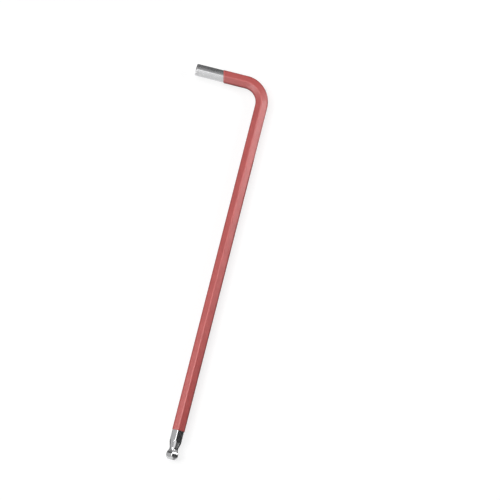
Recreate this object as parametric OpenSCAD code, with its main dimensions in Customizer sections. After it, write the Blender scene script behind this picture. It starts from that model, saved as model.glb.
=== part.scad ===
// Long hex key with a ball end, lying flat on its side.
// Millimetres, +Z up. The long arm runs along Y with the ball at -Y, and the short arm points to -X.
// The origin is under the middle of the key, on the surface that it lies on.
// A corner of the hexagon points straight up and another straight down, all the way round the bend.

/* [Arms] */
// Long arm, from the outer side of the short arm to the tip of the ball
long_arm = 165; // [100:1:220]
// Short arm, from the outer side of the long arm to its flat end
short_arm = 33; // [28:1:60]
// Radius of the bend, along the middle of the bar
bend_radius = 8.5; // [7:0.5:12]

/* [Hexagon] */
// Width across the flats of the bare steel, which is the size of screw it fits
across_flats = 5; // [4.8:0.1:5.4]
// Distance that each corner of the hexagon is cut back
corner_cut = 0.07; // [0.03:0.01:0.15]

/* [Ball end] */
// Distance from the tip to the widest place of the ball
ball_middle = 1.9; // [1.7:0.1:2.2]
// Radius of the crown along each of the six facets of the ball
crown_radius = 3.6; // [3.3:0.1:4]
// Diameter of the round neck at its thinnest place
neck_d = 3.7; // [3.3:0.1:3.8]
// Radius of the hollow that forms the neck
neck_hollow = 2; // [1.4:0.1:2.4]
// Slope of the shoulder cone, measured from the middle line of the arm
shoulder_angle = 15; // [12:0.5:20]
// Diameter of the flat face at the tip
tip_face_d = 3.2; // [2.8:0.1:3.6]

/* [Plain end] */
// Diameter of the flat face at the end of the short arm
end_face_d = 4.5; // [4:0.1:4.7]

/* [Coat] */
// Thickness of the red coat
coat_t = 0.15; // [0.1:0.01:0.3]
// Length left bare at the plain end
bare_short = 12; // [8:0.5:14]
// Length left bare at the ball end
bare_long = 12.5; // [12:0.5:20]

/* [Hidden] */
$fn = 96;

// Half widths of the bare hexagon, over its flats and over its cut corners
flat_r = across_flats / 2;
corner_r = flat_r / cos(30) - corner_cut;
neck_r = neck_d / 2;

// Distance from the corner where the middle lines of the two arms would cross to each end
long_run = long_arm - flat_r;
short_run = short_arm - flat_r;

// Angle between the middle of a flat and its end, and height of the cut corner that points up
function half_flat(flats, corners) = acos(flats / corners);
function cut_corner_z(flats, corners) = corners * cos(30 - half_flat(flats, corners));

// Place of the key: the middle of its outline over the origin, the coat's lowest corner at height zero
coat_flat_r = flat_r + coat_t;
coat_corner_r = corner_r + coat_t;
place = [
    (short_run - coat_flat_r) / 2,
    (long_run - coat_flat_r) / 2,
    cut_corner_z(coat_flat_r, coat_corner_r)
];

// Lengths that two solids share are whole hundredths of a millimetre
function hundredths(v) = round(100 * v) / 100;

// The facets of the ball run out just outside the round neck
runout_r = neck_r + 0.05;
runout_z = hundredths(sqrt(pow(crown_radius, 2) - pow(crown_radius - flat_r + runout_r, 2)));

// The turned ball takes the corners of the facets down to the run-out
turn_drop = corner_r - runout_r;
turn_radius = (pow(runout_z, 2) + pow(turn_drop, 2)) / (2 * turn_drop);
turn_axis = corner_r - turn_radius;

// Middle of the neck. Its hollow bites a little into the turned ball and the shoulder cone, so they meet in edges.
bite = 0.03;
hollow_axis = neck_r + neck_hollow;
apart = turn_radius + neck_hollow - bite;
neck_z = hundredths(ball_middle + sqrt(pow(apart, 2) - pow(hollow_axis - turn_axis, 2)));

// A point of the turned ball inside the hollow, on the line between their centres
touch_r = turn_axis + turn_radius / apart * (hollow_axis - turn_axis);
touch_z = ball_middle + turn_radius / apart * (neck_z - ball_middle);

// Shoulder cone, from the point nearest the hollow's centre to where it is clear of the corners
cone_r = hollow_axis - (neck_hollow - bite) * cos(shoulder_angle);
cone_z = neck_z + (neck_hollow - bite) * sin(shoulder_angle);
clear_r = corner_r + 0.2;
ball_zone = hundredths(cone_z + (clear_r - cone_r) / tan(shoulder_angle));

// A hexagon with a corner up and a small flat along each corner. Both sizes are half widths.
module hexagon(flats, corners) {
    half = half_flat(flats, corners);
    polygon([for (flat = [0:60:300], side = [-half, half]) corners * [cos(flat + side), sin(flat + side)]]);
}

// Carries the flat section given as its child along both arms and round the bend
module along_key(to_long, to_short) {
    translate([0, -bend_radius, 0])
        rotate([90, 0, 0])
            linear_extrude(to_long - bend_radius) children();
    translate([-bend_radius, -bend_radius, 0])
        rotate_extrude(angle = 90)
            translate([bend_radius, 0]) children();
    translate([-bend_radius, 0, 0])
        rotate([90, 0, -90])
            linear_extrude(to_short - bend_radius) children();
}

// Side view of two opposite facets of the ball: crowned, then clear of the neck
module facet_outline() {
    intersection() {
        translate([flat_r - crown_radius, ball_middle]) circle(r = crown_radius);
        translate([crown_radius - flat_r, ball_middle]) circle(r = crown_radius);
        translate([-flat_r, 0]) square([across_flats, ball_middle + runout_z]);
    }
    translate([-runout_r, ball_middle]) square([2 * runout_r, neck_z - ball_middle]);
}

// Half of the turned outline: tip chamfer, ball, hollow neck and shoulder cone
module turned_outline() {
    tip_r = tip_face_d / 2;
    difference() {
        union() {
            intersection() {
                translate([turn_axis, ball_middle]) circle(r = turn_radius);
                polygon([[0, 0], [tip_r, 0], [tip_r + neck_z, neck_z], [0, neck_z]]);
            }
            polygon([
                [0, ball_middle],
                [touch_r, ball_middle],
                [touch_r, touch_z],
                [cone_r, cone_z],
                [clear_r, ball_zone],
                [0, ball_zone]
            ]);
        }
        translate([hollow_axis, neck_z]) circle(r = neck_hollow);
    }
}

// Ball end standing on its tip: three pairs of crowned facets and the hexagon behind them, turned to shape
module ball_end() {
    hexagon_z = neck_z - 0.2;
    intersection() {
        rotate_extrude() turned_outline();
        union() {
            intersection_for(turn = [0, 60, 120])
                rotate([90, 0, turn])
                    linear_extrude(3 * across_flats, center = true) facet_outline();
            translate([0, 0, hexagon_z])
                linear_extrude(ball_zone - hexagon_z) hexagon(flat_r, corner_r);
        }
    }
}

// What is turned off the six corners at the plain end, which stands on its face here: a ring with a 45 degree slope
module plain_end_waste() {
    face_r = end_face_d / 2;
    margin = 1;
    rotate_extrude() polygon([
        [face_r - margin, -margin],
        [face_r + margin, -margin],
        [face_r + margin, margin]
    ]);
}

// The key itself: one length of hexagon bar, bent, with a ball at one end
module steel_bar() {
    color("silver") translate(place) {
        difference() {
            along_key(long_run - ball_zone, short_run) hexagon(flat_r, corner_r);
            translate([-short_run, 0, 0]) rotate([90, 0, 90]) plain_end_waste();
        }
        translate([0, -long_run, 0]) rotate([-90, 0, 0]) ball_end();
    }
}

// The coloured coat: a thin skin of even thickness that leaves both ends bare
module colour_coat() {
    color("indianred") translate(place) difference() {
        along_key(long_run - bare_long, short_run - bare_short) hexagon(coat_flat_r, coat_corner_r);
        along_key(long_run, short_run) hexagon(flat_r, corner_r);
    }
}

steel_bar();
colour_coat();
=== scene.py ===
"""A long hex key: satin chrome steel with a ball end, and a red powder coat between its two bare ends.

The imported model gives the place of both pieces. The two meshes made here keep its forms, and add rounded
edges, the lip and the waviness of the coat, and the finish of every surface.
"""
import math

import bpy
from mathutils import Matrix, Vector, noise


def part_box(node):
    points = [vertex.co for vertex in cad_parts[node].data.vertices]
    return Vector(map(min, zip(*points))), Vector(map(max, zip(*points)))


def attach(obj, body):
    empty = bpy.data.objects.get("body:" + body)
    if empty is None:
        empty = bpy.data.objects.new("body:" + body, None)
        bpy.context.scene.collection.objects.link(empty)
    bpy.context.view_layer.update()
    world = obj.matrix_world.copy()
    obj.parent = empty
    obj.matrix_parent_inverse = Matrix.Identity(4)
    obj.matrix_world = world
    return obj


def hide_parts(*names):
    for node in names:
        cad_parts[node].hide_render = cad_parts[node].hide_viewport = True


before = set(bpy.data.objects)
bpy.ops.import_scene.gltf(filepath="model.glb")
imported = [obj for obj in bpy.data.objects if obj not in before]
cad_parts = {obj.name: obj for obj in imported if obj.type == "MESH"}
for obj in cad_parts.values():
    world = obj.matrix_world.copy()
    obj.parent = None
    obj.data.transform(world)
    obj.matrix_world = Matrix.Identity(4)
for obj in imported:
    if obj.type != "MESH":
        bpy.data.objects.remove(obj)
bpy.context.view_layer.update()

MM = 0.001
SIXTH = math.radians(60)
COS_30 = math.cos(math.radians(30))
TAN_30 = math.tan(math.radians(30))
UP = Vector((0, 0, 1))

# Bar and plain end, as in the model
HALF_FLAT = 2.5 * MM
CORNER_CUT = 0.07 * MM
BEND_RADIUS = 8.5 * MM
END_FACE_RADIUS = 2.25 * MM

# Ball end, as in the model
BALL_MIDDLE = 1.9 * MM
CROWN_RADIUS = 3.6 * MM
NECK_RADIUS = 1.85 * MM
NECK_HOLLOW = 2 * MM
SHOULDER_ANGLE = math.radians(15)
TIP_FACE_RADIUS = 1.6 * MM
RUNOUT_MARGIN = 0.05 * MM
HOLLOW_BITE = 0.03 * MM
SHOULDER_MARGIN = 0.2 * MM

# Coat, as in the model
COAT_T = 0.15 * MM
BARE_LONG = 12.5 * MM
BARE_SHORT = 12 * MM

# Finer forms of the coat: rounder side corners, a lip that wanders and on the short arm slants, and waviness
SIDE_ROUNDING = 1.2 * MM
LIP_LENGTH = 0.18 * MM
LIP_WOBBLE = 0.05 * MM
EDGE_SLANT = 0.6 * MM
PEEL_DEPTH = 0.016 * MM
PEEL_SIZE = 1.3 * MM

# Finer forms of the steel: blends along the turned edges, and a slight crown of the flats
EDGE_BLEND = 0.07 * MM
FLAT_CROWN = 0.02 * MM

# The rounded corners reach as far as the cut corners of the model
CORNER_REACH = HALF_FLAT / COS_30 - CORNER_CUT
STEEL_ROUNDING = (HALF_FLAT / COS_30 - CORNER_REACH) / (1 / COS_30 - 1)
COAT_ROUNDING = STEEL_ROUNDING + COAT_T
COAT_REACH = CORNER_REACH + COAT_T

# Turned outline of the ball end, worked out as in the model. S is a distance from the tip.
RUNOUT_RADIUS = NECK_RADIUS + RUNOUT_MARGIN
RUNOUT_LENGTH = math.sqrt(CROWN_RADIUS ** 2 - (CROWN_RADIUS - HALF_FLAT + RUNOUT_RADIUS) ** 2)
TURN_DROP = CORNER_REACH - RUNOUT_RADIUS
TURN_RADIUS = (RUNOUT_LENGTH ** 2 + TURN_DROP ** 2) / (2 * TURN_DROP)
TURN_AXIS = CORNER_REACH - TURN_RADIUS
HOLLOW_AXIS = NECK_RADIUS + NECK_HOLLOW
APART = TURN_RADIUS + NECK_HOLLOW - HOLLOW_BITE
NECK_S = BALL_MIDDLE + math.sqrt(APART ** 2 - (HOLLOW_AXIS - TURN_AXIS) ** 2)
CONE_S = NECK_S + NECK_HOLLOW * math.sin(SHOULDER_ANGLE)
CONE_RADIUS = HOLLOW_AXIS - NECK_HOLLOW * math.cos(SHOULDER_ANGLE)
SHOULDER_END = CONE_S + (CORNER_REACH + SHOULDER_MARGIN - CONE_RADIUS) / math.tan(SHOULDER_ANGLE)

# Place of the bar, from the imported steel
steel_low, steel_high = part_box("steel_bar")
LONG_X = steel_high.x - HALF_FLAT
SHORT_Y = steel_high.y - HALF_FLAT
TIP_Y = steel_low.y
END_X = steel_low.x
MIDDLE_Z = (steel_low.z + steel_high.z) / 2
BEND_CENTRE = Vector((LONG_X - BEND_RADIUS, SHORT_Y - BEND_RADIUS, MIDDLE_Z))

# Distances from the tip of the ball along the middle line
BEND_START = BEND_CENTRE.y - TIP_Y
BEND_END = BEND_START + BEND_RADIUS * math.pi / 2
BAR_LENGTH = BEND_END + BEND_CENTRE.x - END_X
COAT_START = BARE_LONG
COAT_END = BAR_LENGTH - BARE_SHORT

# Photograph: its size, its scale, the lean of the long arm and the pixel where the two middle lines cross
PHOTO_SIZE = 500
PIXELS_PER_METRE = 2370
LEAN = math.radians(14.32)
CROSSING_PIXEL = (266.1, 87.2)

# Camera: how far it looks from straight down, along the long arm and along the short one
TILT = math.radians(5)
SIDEWAYS = math.radians(2.5)
CAMERA_DISTANCE = 6.0

# Light and floor. The room is white to the eye and in the chrome, and lights the key only a little.
SKY_LIGHT = 0.12
ROOM_WHITE = 1.0
FLOOR_ALBEDO = 0.3
FLOOR_GLOW = 0.77
FLOOR_REACH = 30

# Cards on a dome round the key: name, azimuths, elevations and brightness
DOME_RADIUS = 0.3
DOME_STEP = 6
CARDS = (
    ("right_near", (-60, -28), (2, 36), 0.18),
    ("right_near_top", (-60, -28), (36, 84), 0.02),
    ("right_low", (-28, 8), (2, 84), 0.045),
    ("right_high", (8, 24), (6, 58), 3.4),
    ("right_bend", (24, 36), (24, 58), 5.4),
    ("right_top", (8, 90), (58, 86), 0.03),
    ("right_far_low", (24, 65), (3, 24), 0.4),
    ("right_far", (36, 62), (24, 40), 0.45),
    ("right_far_top", (36, 75), (40, 58), 1.3),
    ("far_right", (62, 100), (20.8, 47), 0.7),
    ("far", (65, 125), (3, 20.8), 0.15),
    ("far_top", (108, 128), (26, 60), 7.0),
    ("left_far", (125, 160), (3, 38), 0.25),
    ("left_high", (160, 178), (3, 38), 0.03),
    ("left_low", (178, 244), (3, 50), 0.58),
    ("left_top", (120, 235), (58, 80), 3.4),
    ("near", (244, 300), (12, 49), 0.8),
    ("near_top", (250, 296), (50, 62), 1.3),
)

# Edges of the level cards. Those on the floor keep a gap from the key.
FLAG_HEIGHT = 0.3 * MM
FLAG_GAP = 3.2 * MM
FLAG_REACH = 0.25
LEFT_EDGE = LONG_X - FLAG_GAP
RIGHT_EDGE = LONG_X + FLAG_GAP
NEAR_EDGE = TIP_Y - FLAG_GAP
CROOK_EDGE = SHORT_Y - FLAG_GAP
FAR_EDGE = SHORT_Y + FLAG_GAP
BEND_SIDE = 0.05
CROOK_SIDE = 0.04
CROOK_LEFT = -0.004

# Level cards: name, places along X and along Y, height and brightness
FLAGS = (
    ("right_flag", (RIGHT_EDGE, FLAG_REACH), (TIP_Y, BEND_SIDE), FLAG_HEIGHT, 0.03),
    ("left_flag", (-FLAG_REACH, LEFT_EDGE), (TIP_Y, CROOK_SIDE), FLAG_HEIGHT, 0.2),
    ("crook_flag", (CROOK_LEFT, LEFT_EDGE), (CROOK_SIDE, CROOK_EDGE), FLAG_HEIGHT, 0.2),
    ("far_flag", (-FLAG_REACH, FLAG_REACH), (FAR_EDGE, FLAG_REACH), FLAG_HEIGHT, 0.2),
    ("tip_flag", (LEFT_EDGE, FLAG_REACH), (-FLAG_REACH, NEAR_EDGE), FLAG_HEIGHT, 0.35),
    ("crook_card", (-0.105, -0.052), (-0.11, -0.03), 0.115, 6.5),
)

# Lamps: name, kind, place, the point that it faces, strength, and width, which is an angle for a sun
LAMPS = (
    ("top_left_sun", "SUN", (-0.42, 0.2, 0.88), (0, 0, 0), 1.62, math.radians(50)),
    ("bend_lamp", "AREA", (0.26, 0.2, 0.16), (LONG_X, 0.06, 0), 0.46, 0.15),
    ("left_lamp", "AREA", (-0.2, -0.1, 0.26), (LONG_X, -0.04, 0), 0.3, 0.15),
)


def middle_line(s):
    """Point of the middle line at distance s from the tip, and the direction out of the bend there."""
    if s <= BEND_START:
        return Vector((LONG_X, TIP_Y + s, MIDDLE_Z)), Vector((1, 0, 0))
    if s >= BEND_END:
        return Vector((BEND_CENTRE.x - (s - BEND_END), SHORT_Y, MIDDLE_Z)), Vector((0, 1, 0))
    turn = (s - BEND_START) / BEND_RADIUS
    out = Vector((math.cos(turn), math.sin(turn), 0))
    return BEND_CENTRE + BEND_RADIUS * out, out


def blended_min(a, b, width):
    """The smaller of two distances, with a rounded change from one to the other."""
    share = max(width - abs(a - b), 0) / width
    return min(a, b) - share ** 2 * width / 4


def blended_max(a, b, width):
    """The larger of two distances, with a rounded change from one to the other."""
    return -blended_min(-a, -b, width)


def off_flat(angle):
    """Angle from the middle of the nearest flat. One flat has its middle at angle 0."""
    return abs((angle + SIXTH / 2) % SIXTH - SIXTH / 2)


def flat_end_angle(half_flat, rounding):
    """Angle from the middle of a flat to where the rounded corner starts."""
    return math.atan((half_flat - rounding) * TAN_30 / half_flat)


def hexagon_radius(angle, half_flat, rounding):
    """Distance from the middle line to the surface of a hexagon bar with rounded corners."""
    turn = off_flat(angle)
    if turn <= flat_end_angle(half_flat, rounding):
        return half_flat / math.cos(turn)
    off_corner = SIXTH / 2 - turn
    centre = (half_flat - rounding) / COS_30
    return centre * math.cos(off_corner) + math.sqrt(rounding ** 2 - (centre * math.sin(off_corner)) ** 2)


def bar_radius(angle):
    """Distance from the middle line to the bare bar, whose flats fall away a little from their middles."""
    share = min(off_flat(angle) / flat_end_angle(HALF_FLAT, STEEL_ROUNDING), 1)
    return hexagon_radius(angle, HALF_FLAT, STEEL_ROUNDING) - FLAT_CROWN * share ** 2


def coat_radius(angle):
    """Distance from the middle line to the even coat, which is rounder over the four side corners."""
    at_side = abs(math.sin(angle)) < math.sin(SIXTH)
    return hexagon_radius(angle, HALF_FLAT + COAT_T, SIDE_ROUNDING if at_side else COAT_ROUNDING)


def turned_radius(s):
    """Radius of the turned outline: tip chamfer, ball, hollow neck and shoulder cone."""
    if s > CONE_S:
        return CONE_RADIUS + (s - CONE_S) * math.tan(SHOULDER_ANGLE)
    in_hollow = NECK_HOLLOW ** 2 - (s - NECK_S) ** 2
    hollow = HOLLOW_AXIS - math.sqrt(max(in_hollow, 0))
    if s > NECK_S:
        return hollow
    in_ball = TURN_RADIUS ** 2 - (s - BALL_MIDDLE) ** 2
    ball = TURN_AXIS + math.sqrt(in_ball) if in_ball > 0 else 0
    ball = blended_min(ball, TIP_FACE_RADIUS + s, EDGE_BLEND)
    return blended_max(ball, hollow, EDGE_BLEND) if in_hollow > 0 else ball


def facet_radius(angle, s):
    """Distance to the six crowned facets of the ball, or to the flats of the bar behind the neck."""
    if s > NECK_S:
        return bar_radius(angle)
    drop = CROWN_RADIUS ** 2 - (s - BALL_MIDDLE) ** 2
    half_width = HALF_FLAT - CROWN_RADIUS + math.sqrt(max(drop, 0))
    return hexagon_radius(angle, max(half_width, RUNOUT_RADIUS), EDGE_BLEND)


def steel_radius(angle, s):
    """Distance from the middle line to the steel: the ball end, the bar or its chamfered plain end."""
    if s < SHOULDER_END:
        return blended_min(facet_radius(angle, s), turned_radius(s), EDGE_BLEND)
    return blended_min(bar_radius(angle), END_FACE_RADIUS + BAR_LENGTH - s, EDGE_BLEND)


def between(a, b, share):
    return a + share * (b - a)


def spaced(start, end, step):
    """Evenly spaced values from start to end, both included."""
    count = max(1, round((end - start) / step))
    return [start + (end - start) * i / count for i in range(count + 1)]


def joined_rows(*stretches):
    """Rows of several stretches, each given as start, end and step, without the repeated ends."""
    rows = []
    for start, end, step in stretches:
        rows += spaced(start, end, step)[1 if rows else 0:]
    return rows


def around(flat_end, flat_parts, corner_parts):
    """Angles round the bar. They meet the ends of the flats, with a narrow strip inside each end."""
    strip = 0.04 * flat_end
    angles = []
    for flat in range(6):
        middle = flat * SIXTH
        inside = spaced(-flat_end + strip, flat_end - strip, 2 * flat_end / flat_parts)
        corner = spaced(flat_end, SIXTH - flat_end, (SIXTH - 2 * flat_end) / corner_parts)[:-1]
        angles.append(middle - flat_end)
        angles += [middle + a for a in inside]
        angles += [middle + a for a in corner]
    return angles


class Surface:
    """Collects rings of points along the bar and the faces between them."""

    def __init__(self, angles):
        self.angles = angles
        self.points = []
        self.unbent = []
        self.faces = []
        self.last = None

    def add(self, angle, s, radius):
        """Adds a point, and its place in the bar as if that were straight."""
        centre, out = middle_line(s)
        self.points.append(centre + radius * (math.cos(angle) * out + math.sin(angle) * UP))
        self.unbent.append((radius * math.cos(angle), radius * math.sin(angle), s))

    def ring(self, places, radii):
        """Adds a ring, joined to the last one. Each point has its own distance along the bar and radius."""
        start = len(self.points)
        for angle, s, radius in zip(self.angles, places, radii):
            self.add(angle, s, radius)
        ring = range(start, start + len(self.angles))
        if self.last is not None:
            self.join(self.last, ring)
        self.last = ring

    def even_ring(self, s, radii):
        """Adds a ring square to the bar."""
        self.ring([s] * len(self.angles), radii)

    def join(self, a, b):
        """Faces between two rings."""
        count = len(self.angles)
        for i in range(count):
            j = (i + 1) % count
            self.faces.append((a[i], b[i], b[j], a[j]))

    def cap(self, ring, s, at_tip):
        """Closes a ring with a fan round a point on the middle line, at the tip or at the plain end."""
        centre = len(self.points)
        self.add(0, s, 0)
        count = len(self.angles)
        for i in range(count):
            j = (i + 1) % count
            self.faces.append((ring[i], ring[j], centre) if at_tip else (ring[j], ring[i], centre))

    def make(self, name, body, node):
        """The finished mesh object, riding on its body and standing for its node."""
        mesh = bpy.data.meshes.new(name)
        mesh.from_pydata([tuple(p) for p in self.points], [], self.faces)
        mesh.update()
        mesh.shade_smooth()
        unbent = mesh.attributes.new("unbent", "FLOAT_VECTOR", "POINT")
        unbent.data.foreach_set("vector", [value for place in self.unbent for value in place])
        piece = bpy.data.objects.new(name, mesh)
        bpy.context.scene.collection.objects.link(piece)
        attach(piece, body)
        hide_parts(node)
        return piece


def steel_rows():
    """Distances of the steel's rings: close at both ends and in the bend, wide where the coat hides them."""
    fine = 0.05 * MM
    under_coat = COAT_START + MM
    chamfer_start = BAR_LENGTH - 0.9 * MM
    return joined_rows(
        (0, SHOULDER_END, fine),
        (SHOULDER_END, under_coat, 0.5 * MM),
        (under_coat, BEND_START, 4 * MM),
        (BEND_START, BEND_END, 0.3 * MM),
        (BEND_END, chamfer_start, 1.5 * MM),
        (chamfer_start, BAR_LENGTH, fine),
    )


def make_steel():
    """The whole bar: ball end, straight arms, bend and chamfered plain end."""
    angles = around(flat_end_angle(HALF_FLAT, STEEL_ROUNDING), flat_parts=20, corner_parts=8)
    surface = Surface(angles)
    face_rings = (0.35, 0.7, 0.93, 0.98)
    tip = [steel_radius(a, 0) for a in angles]
    end = [steel_radius(a, BAR_LENGTH) for a in angles]
    for share in face_rings:
        surface.even_ring(0, [share * r for r in tip])
        if share == face_rings[0]:
            surface.cap(surface.last, 0, at_tip=True)
    for s in steel_rows():
        surface.even_ring(s, [steel_radius(a, s) for a in angles])
    for share in reversed(face_rings):
        surface.even_ring(BAR_LENGTH, [share * r for r in end])
    surface.cap(surface.last, BAR_LENGTH, at_tip=False)
    return surface.make("steel", "root", "steel_bar")


def lip_shift(angle, end):
    """How far along the bar the coat's edge is off square. end is 0 at the ball and 1 on the short arm."""
    waves = 1.7
    other_pattern = 5.0
    place = Vector((waves * math.cos(angle), waves * math.sin(angle), other_pattern * end))
    return LIP_WOBBLE * noise.noise(place) + EDGE_SLANT * end * math.cos(angle)


def peel(angle, s):
    """Depth of the coat's slight waviness, always inwards."""
    place = Vector((COAT_REACH * math.cos(angle), COAT_REACH * math.sin(angle), s)) / PEEL_SIZE
    return PEEL_DEPTH * (0.5 + 0.5 * noise.noise(place))


def lip_height(distance):
    """Share of the coat's thickness at a distance from its edge: a quarter of an ellipse."""
    gone = 1 - min(distance / LIP_LENGTH, 1)
    return math.sqrt(max(1 - gone ** 2, 0))


def make_coat():
    """The coat: a closed skin with rounded lips, whose inner side lies on the steel."""
    angles = around(flat_end_angle(HALF_FLAT + COAT_T, COAT_ROUNDING), flat_parts=14, corner_parts=6)
    inner = [hexagon_radius(a, HALF_FLAT, STEEL_ROUNDING) for a in angles]
    outer = [coat_radius(a) for a in angles]
    starts = [COAT_START + lip_shift(a, 0) for a in angles]
    ends = [COAT_END + lip_shift(a, 1) for a in angles]
    margin = 2 * MM
    first, last = COAT_START + margin, COAT_END - margin
    lip = [LIP_LENGTH * share for share in (0, 0.02, 0.08, 0.2, 0.4, 0.65, 1)]
    shares = (0.35, 0.7)

    def skin(places):
        """Radii of a ring of the outer side."""
        radii = []
        for i, s in enumerate(places):
            full = outer[i] - peel(angles[i], s)
            radii.append(between(inner[i], full, lip_height(min(s - starts[i], ends[i] - s))))
        return radii

    rows = [[start + distance for start in starts] for distance in lip]
    rows += [[between(start + LIP_LENGTH, first, share) for start in starts] for share in shares]
    rows += [[s] * len(angles) for s in spaced(first, last, 0.45 * MM)]
    rows += [[between(end - LIP_LENGTH, last, share) for end in ends] for share in reversed(shares)]
    rows += [[end - distance for end in ends] for distance in reversed(lip)]
    surface = Surface(angles)
    for places in rows:
        surface.ring(places, skin(places))
    back = joined_rows(
        (first, BEND_START, 6 * MM),
        (BEND_START, BEND_END, 0.3 * MM),
        (BEND_END, last, 3 * MM),
    )
    for s in reversed(back):
        surface.even_ring(s, inner)
    surface.join(surface.last, range(len(angles)))
    return surface.make("coat", "root", "colour_coat")


class Nodes:
    """Short calls for building a material's nodes."""

    def __init__(self, name):
        self.material = bpy.data.materials.new(name)
        self.material.use_nodes = True
        self.tree = self.material.node_tree
        self.shader = self.tree.nodes["Principled BSDF"]

    def add(self, kind, **inputs):
        node = self.tree.nodes.new(kind)
        for name, value in inputs.items():
            self.put(node, name, value)
        return node

    def put(self, node, name, value):
        """Sets a socket, given by name or as _1 by number, or links it to a socket of another node."""
        socket = node.inputs[int(name[1:])] if name[0] == "_" else node.inputs[name]
        if isinstance(value, bpy.types.NodeSocket):
            self.tree.links.new(value, socket)
        else:
            socket.default_value = value

    def unbent(self, across, along):
        """Place in the bar as if it were straight, multiplied by a number of features per metre each way."""
        place = self.add("ShaderNodeAttribute")
        place.attribute_name = "unbent"
        scaled = self.add("ShaderNodeVectorMath", _0=place.outputs["Vector"], _1=(across, across, along))
        scaled.operation = "MULTIPLY"
        return scaled.outputs[0]

    def noise(self, place, detail=2.0, roughness=0.5):
        node = self.add("ShaderNodeTexNoise", Vector=place, Scale=1.0, Detail=detail, Roughness=roughness)
        return node.outputs["Fac"]

    def ranged(self, value, low, high, start=0.3, end=0.7):
        """Maps a value that runs from start to end onto low to high."""
        node = self.add("ShaderNodeMapRange", Value=value)
        for name, number in (("From Min", start), ("From Max", end), ("To Min", low), ("To Max", high)):
            node.inputs[name].default_value = number
        return node.outputs["Result"]

    def mixed(self, share, a, b):
        """Colour between a and b."""
        node = self.add("ShaderNodeMix")
        node.data_type = "RGBA"
        self.put(node, "Factor", share)
        self.put(node, "_6", a)
        self.put(node, "_7", b)
        return node.outputs[2]

    def bump(self, height, distance, below=None):
        """Normal of a bumpy surface, on top of another bump where one is given."""
        node = self.add("ShaderNodeBump", Height=height, Distance=distance)
        node.inputs["Strength"].default_value = 1.0
        if below is not None:
            self.put(node, "Normal", below)
        return node.outputs["Normal"]


def chrome():
    """Satin chrome: fine lines along the bar, slow waves, and clouds of slightly rougher plating."""
    n = Nodes("satin_chrome")
    lines = n.noise(n.unbent(9000, 160), detail=3)
    clouds = n.noise(n.unbent(420, 160), detail=3)
    waves = n.noise(n.unbent(500, 90), detail=1)
    n.put(n.shader, "Base Color", n.mixed(clouds, (0.59, 0.59, 0.6, 1), (0.66, 0.66, 0.67, 1)))
    n.put(n.shader, "Metallic", 1.0)
    n.put(n.shader, "Roughness", n.ranged(clouds, 0.14, 0.2))
    swell = n.bump(waves, 0.004 * MM)
    n.put(n.shader, "Normal", n.bump(lines, 0.0012 * MM, below=swell))
    return n.material


def powder_coat():
    """Red powder coat: a satin skin with a fine grain, a little uneven in colour."""
    n = Nodes("powder_coat")
    grain = n.noise(n.unbent(3200, 3200), detail=3, roughness=0.6)
    patches = n.noise(n.unbent(260, 160), detail=2)
    red = n.mixed(n.ranged(patches, 0, 1), (0.46, 0.074, 0.069, 1), (0.52, 0.088, 0.081, 1))
    speck = n.ranged(grain, 0, 0.35, start=0.52, end=0.75)
    n.put(n.shader, "Base Color", n.mixed(speck, red, (0.62, 0.14, 0.13, 1)))
    n.put(n.shader, "Roughness", n.ranged(grain, 0.3, 0.44))
    n.put(n.shader, "Specular IOR Level", 1.0)
    n.put(n.shader, "Normal", n.bump(grain, 0.035 * MM))
    return n.material


def light_path_share(tree):
    """Socket that is 1 for camera, glossy and transmission rays."""
    path = tree.nodes.new("ShaderNodeLightPath")
    total = path.outputs["Is Camera Ray"]
    for name in ("Is Glossy Ray", "Is Transmission Ray"):
        larger = tree.nodes.new("ShaderNodeMath")
        larger.operation = "MAXIMUM"
        tree.links.new(total, larger.inputs[0])
        tree.links.new(path.outputs[name], larger.inputs[1])
        total = larger.outputs[0]
    return total


def make_world():
    """White to the eye and in reflections, and a plain sky light."""
    world = bpy.data.worlds.new("studio")
    bpy.context.scene.world = world
    world.use_nodes = True
    tree = world.node_tree
    background = tree.nodes["Background"]
    background.inputs["Color"].default_value = (1, 1, 1, 1)
    strength = tree.nodes.new("ShaderNodeMapRange")
    strength.inputs["To Min"].default_value = SKY_LIGHT
    strength.inputs["To Max"].default_value = ROOM_WHITE
    tree.links.new(light_path_share(tree), strength.inputs["Value"])
    tree.links.new(strength.outputs["Result"], background.inputs["Strength"])


def level_mesh(name, along_x, along_y, height):
    """Level rectangle between two places along X and two along Y."""
    left, right = along_x
    near, far = along_y
    corners = [(left, near), (right, near), (right, far), (left, far)]
    mesh = bpy.data.meshes.new(name)
    mesh.from_pydata([(x, y, height) for x, y in corners], [], [(0, 1, 2, 3)])
    return mesh


def floor_material():
    """Pale floor whose own glow brings it to white where nothing shades it."""
    n = Nodes("floor")
    n.put(n.shader, "Base Color", (FLOOR_ALBEDO, FLOOR_ALBEDO, FLOOR_ALBEDO, 1))
    n.put(n.shader, "Roughness", 1.0)
    n.put(n.shader, "Specular IOR Level", 0.0)
    n.put(n.shader, "Emission Color", (1, 1, 1, 1))
    n.put(n.shader, "Emission Strength", n.ranged(light_path_share(n.tree), 0, FLOOR_GLOW, start=0, end=1))
    return n.material


def make_floor():
    reach = (-FLOOR_REACH, FLOOR_REACH)
    floor = bpy.data.objects.new("floor", level_mesh("floor", reach, reach, 0))
    floor.data.materials.append(floor_material())
    bpy.context.scene.collection.objects.link(floor)


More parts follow.
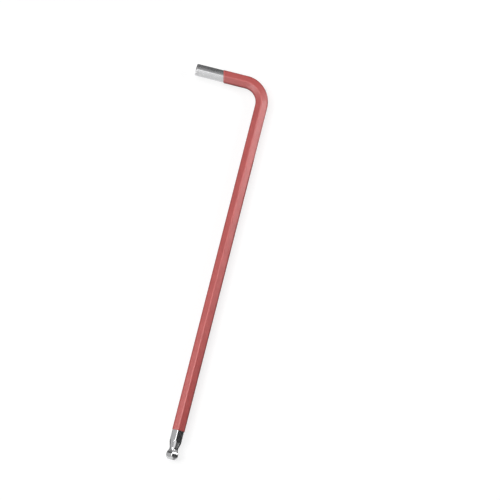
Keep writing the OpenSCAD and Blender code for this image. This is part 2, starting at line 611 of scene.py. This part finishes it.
def dome_mesh(name, azimuths, elevations):
    """Part of a dome round the key. Azimuths run from +X towards +Y, and both ranges are in degrees."""
    columns = spaced(*azimuths, DOME_STEP)
    rows = spaced(*elevations, DOME_STEP)
    points = []
    for elevation in rows:
        for azimuth in columns:
            turn, lift = math.radians(azimuth), math.radians(elevation)
            flat = DOME_RADIUS * math.cos(lift)
            points.append((flat * math.cos(turn), flat * math.sin(turn), DOME_RADIUS * math.sin(lift)))
    count = len(columns)
    faces = []
    for row in range(len(rows) - 1):
        for column in range(count - 1):
            corner = row * count + column
            faces.append((corner, corner + 1, corner + count + 1, corner + count))
    mesh = bpy.data.meshes.new(name)
    mesh.from_pydata(points, [], faces)
    return mesh


def card_material(name, brightness):
    """Black paint that glows evenly."""
    n = Nodes(name)
    n.put(n.shader, "Base Color", (0, 0, 0, 1))
    n.put(n.shader, "Specular IOR Level", 0.0)
    n.put(n.shader, "Emission Color", (1, 1, 1, 1))
    n.put(n.shader, "Emission Strength", brightness)
    return n.material


def make_card(name, mesh, brightness):
    """A studio card, which shows only in reflections."""
    card = bpy.data.objects.new(name, mesh)
    card.data.materials.append(card_material(name, brightness))
    card.visible_camera = False
    card.visible_diffuse = False
    card.visible_shadow = False
    bpy.context.scene.collection.objects.link(card)


def make_cards():
    """All the cards that the chrome and the coat mirror, on the dome and level."""
    for name, azimuths, elevations, brightness in CARDS:
        make_card(name, dome_mesh(name, azimuths, elevations), brightness)
    for name, along_x, along_y, height, brightness in FLAGS:
        make_card(name, level_mesh(name, along_x, along_y, height), brightness)


def make_lamp(name, kind, place, target, strength, width):
    data = bpy.data.lights.new(name, kind)
    data.energy = strength
    if kind == "SUN":
        data.angle = width
    else:
        data.size = width
    lamp = bpy.data.objects.new(name, data)
    lamp.location = place
    lamp.rotation_mode = "QUATERNION"
    lamp.rotation_quaternion = (Vector(target) - Vector(place)).to_track_quat("-Z", "Y")
    lamp.visible_glossy = False
    bpy.context.scene.collection.objects.link(lamp)


def make_camera():
    """Looks down at the key from the photograph's side, turned so that the long arm leans to the right."""
    right = Vector((math.cos(SIDEWAYS), 0, -math.sin(SIDEWAYS)))
    down = Vector((-math.sin(SIDEWAYS), 0, -math.cos(SIDEWAYS)))
    forward = math.cos(TILT) * down + math.sin(TILT) * Vector((0, 1, 0))
    up = right.cross(forward)
    image_right = right * math.cos(LEAN) + up * math.sin(LEAN)
    image_up = up * math.cos(LEAN) - right * math.sin(LEAN)
    crossing = Vector((LONG_X, SHORT_Y, MIDDLE_Z))
    right_of_middle = (CROSSING_PIXEL[0] - PHOTO_SIZE / 2) / PIXELS_PER_METRE
    above_middle = (PHOTO_SIZE / 2 - CROSSING_PIXEL[1]) / PIXELS_PER_METRE
    aim = crossing - image_right * right_of_middle - image_up * above_middle
    data = bpy.data.cameras.new("camera")
    data.sensor_width = 36
    data.lens = data.sensor_width * CAMERA_DISTANCE * PIXELS_PER_METRE / PHOTO_SIZE
    data.clip_end = 50
    camera = bpy.data.objects.new("camera", data)
    camera.location = aim - forward * CAMERA_DISTANCE
    camera.rotation_mode = "QUATERNION"
    camera.rotation_quaternion = Matrix((image_right, image_up, -forward)).transposed().to_quaternion()
    bpy.context.scene.collection.objects.link(camera)
    bpy.context.scene.camera = camera


make_camera()
steel = make_steel()
steel.data.materials.append(chrome())
coat = make_coat()
coat.data.materials.append(powder_coat())

make_world()
make_floor()
make_cards()
for lamp in LAMPS:
    make_lamp(*lamp)
bpy.context.scene.view_settings.view_transform = "Standard"
